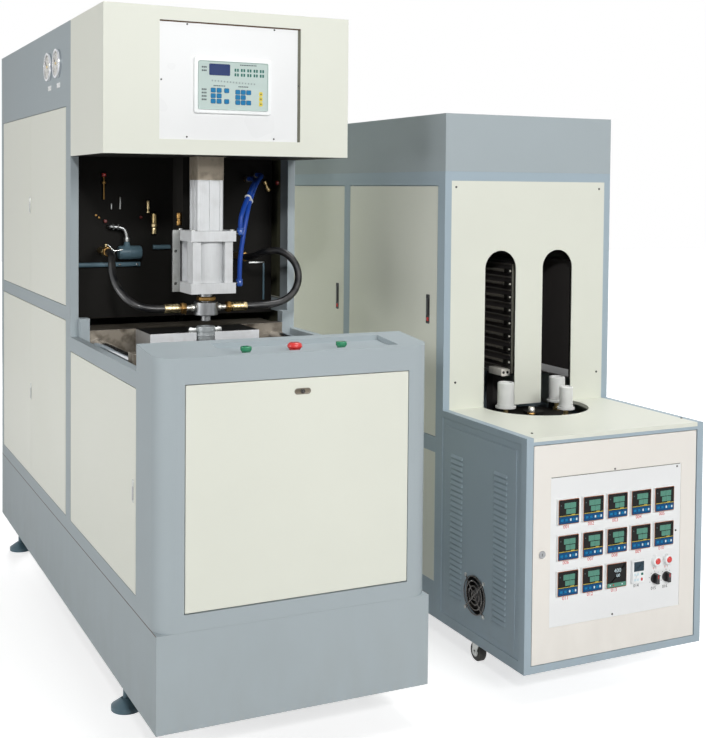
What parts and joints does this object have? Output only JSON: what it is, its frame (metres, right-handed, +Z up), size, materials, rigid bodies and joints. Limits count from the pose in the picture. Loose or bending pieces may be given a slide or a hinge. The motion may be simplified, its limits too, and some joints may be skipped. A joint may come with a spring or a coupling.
{
  "type": "blow moulding machine",
  "caption": "Stretch blow moulding machine: blowing cabinet with head, split mould and clamp, beside an infrared preform heater on castors.",
  "frame": {"origin": "middle of the footprint of both cabinets, on the floor", "axes": "+Z up, +Y from the operator's side towards the back, +X from the blowing cabinet towards the heater"},
  "size_m": [1.764, 2.2578, 2.017],
  "materials": {
    "grey_paint": "satin grey powder coat",
    "cream_paint": "cream powder coat",
    "louvre_paint": "grey powder coat",
    "black_paint": "black paint",
    "white_plate": "white plate",
    "keypad": "membrane keypad",
    "gauge": "chromed case",
    "steel": "machined steel",
    "chrome": "chromed",
    "cast_aluminium": "satin aluminium",
    "brass": "turned brass",
    "air_parts": "blue grey paint",
    "hose": "black rubber",
    "blue_tube": "blue tube",
    "green_button": "green cap",
    "red_button": "red cap",
    "black_plastic": "black plastic",
    "guard": "wire guard",
    "white_plastic": "white plastic",
    "lamp": "quartz lamp",
    "wheel_rubber": "black tread"
  },
  "bodies": {
    "machine": {"levelling_feet": "steel", "blower_frame": "grey_paint", "blower_outer_panels": "grey_paint", "side_covers": "cream_paint", "bay_back_panel": "black_paint", "front_cover": "grey_paint", "head_housing": "cream_paint", "control_plate": "white_plate", "keypad_unit": "keypad", "pressure_gauges": "gauge", "tie_bars": "chrome", "fixed_platens": "steel", "clamp_cylinder": "cast_aluminium", "rear_mould_half": "steel", "neck_ring": "chrome", "seal_cylinder": "cast_aluminium", "cylinder_bracket": "cast_aluminium", "stretch_cylinder": "cast_aluminium", "air_line_set": "air_parts", "heater_frame": "grey_paint", "heater_top_cap": "grey_paint", "slot_panel": "cream_paint", "heater_table": "cream_paint", "louvre_panels": "louvre_paint", "fan_guard": "guard", "wheel_drive": "black_paint", "lamp_bank": "cast_aluminium", "heating_lamps": "lamp", "castor_mounts": "steel", "blow_hoses": "hose", "air_tubes": "blue_tube"},
    "front_access_panel": {"front_access_panel": "cream_paint"},
    "start_button_left": {"start_button_left": "green_button"},
    "stop_button": {"stop_button": "red_button"},
    "start_button_right": {"start_button_right": "green_button"},
    "clamp": {"moving_platen": "steel", "front_mould_half": "steel"},
    "blow_head": {"blow_manifold": "steel", "brass_fittings": "brass"},
    "stretch_rod": {"stretch_rod": "steel"},
    "fan_rotor": {"fan_rotor": "black_plastic"},
    "control_door": {"control_door": "cream_paint", "control_unit": "white_plate"},
    "left_knob": {"left_knob": "black_plastic"},
    "right_knob": {"right_knob": "black_plastic"},
    "preform_wheel": {"preform_wheel": "black_paint", "preform_holders": "white_plastic"},
    "upper_front_door": {"upper_front_door": "cream_paint"},
    "upper_rear_door": {"upper_rear_door": "cream_paint"},
    "lower_front_door": {"lower_front_door": "cream_paint"},
    "lower_rear_door": {"lower_rear_door": "cream_paint"},
    "service_door": {"service_door": "cream_paint"},
    "heater_front_door": {"heater_front_door": "cream_paint"},
    "heater_rear_door": {"heater_rear_door": "cream_paint"},
    "front_left_fork": {"front_left_fork": "steel"},
    "front_right_fork": {"front_right_fork": "steel"},
    "front_left_wheel": {"front_left_wheel": "wheel_rubber"},
    "front_right_wheel": {"front_right_wheel": "wheel_rubber"},
    "rear_left_wheel": {"rear_left_wheel": "wheel_rubber"},
    "rear_right_wheel": {"rear_right_wheel": "wheel_rubber"}
  },
  "joints": [
    {"name": "upper_front_door_hinge", "type": "hinge", "parent": "machine", "child": "upper_front_door", "pos_m": [-0.863, -0.0711, 1.4225], "axis": [0, 0, 1], "range_deg": [0, 90]},
    {"name": "upper_rear_door_hinge", "type": "hinge", "parent": "machine", "child": "upper_rear_door", "pos_m": [-0.863, 1.0779, 1.4225], "axis": [0, 0, -1], "range_deg": [0, 90]},
    {"name": "lower_front_door_hinge", "type": "hinge", "parent": "machine", "child": "lower_front_door", "pos_m": [-0.863, -0.0711, 0.7315], "axis": [0, 0, 1], "range_deg": [0, 90]},
    {"name": "lower_rear_door_hinge", "type": "hinge", "parent": "machine", "child": "lower_rear_door", "pos_m": [-0.863, 1.0779, 0.7315], "axis": [0, 0, -1], "range_deg": [0, 90]},
    {"name": "service_door_hinge", "type": "hinge", "parent": "machine", "child": "service_door", "pos_m": [-0.863, -0.1591, 0.685], "axis": [0, 0, -1], "range_deg": [0, 90]},
    {"name": "heater_front_door_hinge", "type": "hinge", "parent": "machine", "child": "heater_front_door", "pos_m": [0.229, 0.0429, 1.09], "axis": [0, 0, -1], "range_deg": [0, 26]},
    {"name": "heater_rear_door_hinge", "type": "hinge", "parent": "machine", "child": "heater_rear_door", "pos_m": [0.229, 0.7409, 1.09], "axis": [0, 0, -1], "range_deg": [0, 26]},
    {"name": "control_door_hinge", "type": "hinge", "parent": "machine", "child": "control_door", "pos_m": [0.842, -1.1051, 0.43], "axis": [0, 0, 1], "range_deg": [0, 110]},
    {"name": "front_access_panel_hinge", "type": "hinge", "parent": "machine", "child": "front_access_panel", "pos_m": [-0.48, -1.0941, 0.421], "axis": [1, 0, 0], "range_deg": [0, 95]},
    {"name": "start_button_left_press", "type": "slide", "parent": "machine", "child": "start_button_left", "axis": [0, 0, -1], "range_m": [0, 0.004], "stiffness_N_per_m": 800, "springref_m": -0.003},
    {"name": "stop_button_press", "type": "slide", "parent": "machine", "child": "stop_button", "axis": [0, 0, -1], "range_m": [0, 0.004], "stiffness_N_per_m": 800, "springref_m": -0.003},
    {"name": "start_button_right_press", "type": "slide", "parent": "machine", "child": "start_button_right", "axis": [0, 0, -1], "range_m": [0, 0.004], "stiffness_N_per_m": 800, "springref_m": -0.003},
    {"name": "clamp_slide", "type": "slide", "parent": "machine", "child": "clamp", "axis": [0, 1, 0], "range_m": [0, 0.2]},
    {"name": "blow_head_slide", "type": "slide", "parent": "machine", "child": "blow_head", "axis": [0, 0, -1], "range_m": [0, 0.016], "deforming": ["blow_hoses"]},
    {"name": "stretch_slide", "type": "slide", "parent": "machine", "child": "stretch_rod", "axis": [0, 0, -1], "range_m": [0, 0.4]},
    {"name": "preform_wheel_turn", "type": "hinge", "parent": "machine", "child": "preform_wheel", "pos_m": [0.5495, -0.6761, 0.738], "axis": [0, 0, 1], "continuous": true},
    {"name": "fan_spin", "type": "hinge", "parent": "machine", "child": "fan_rotor", "pos_m": [0.242, -0.8461, 0.238], "axis": [1, 0, 0], "continuous": true},
    {"name": "left_knob_turn", "type": "hinge", "parent": "control_door", "child": "left_knob", "pos_m": [0.696, -1.1121, 0.31], "axis": [0, -1, 0], "range_deg": [-90, 0]},
    {"name": "right_knob_turn", "type": "hinge", "parent": "control_door", "child": "right_knob", "pos_m": [0.74, -1.1121, 0.31], "axis": [0, -1, 0], "range_deg": [-90, 0]},
    {"name": "front_left_swivel", "type": "hinge", "parent": "machine", "child": "front_left_fork", "pos_m": [0.282, -0.7951, 0.08], "axis": [0, 0, 1], "continuous": true},
    {"name": "front_left_roll", "type": "hinge", "parent": "front_left_fork", "child": "front_left_wheel", "pos_m": [0.282, -0.7771, 0.031], "axis": [1, 0, 0], "continuous": true},
    {"name": "front_right_swivel", "type": "hinge", "parent": "machine", "child": "front_right_fork", "pos_m": [0.817, -0.7951, 0.08], "axis": [0, 0, 1], "continuous": true},
    {"name": "front_right_roll", "type": "hinge", "parent": "front_right_fork", "child": "front_right_wheel", "pos_m": [0.817, -0.7771, 0.031], "axis": [1, 0, 0], "continuous": true},
    {"name": "rear_left_roll", "type": "hinge", "parent": "machine", "child": "rear_left_wheel", "pos_m": [0.282, 0.6769, 0.031], "axis": [1, 0, 0], "continuous": true},
    {"name": "rear_right_roll", "type": "hinge", "parent": "machine", "child": "rear_right_wheel", "pos_m": [0.817, 0.6769, 0.031], "axis": [1, 0, 0], "continuous": true}
  ]
}
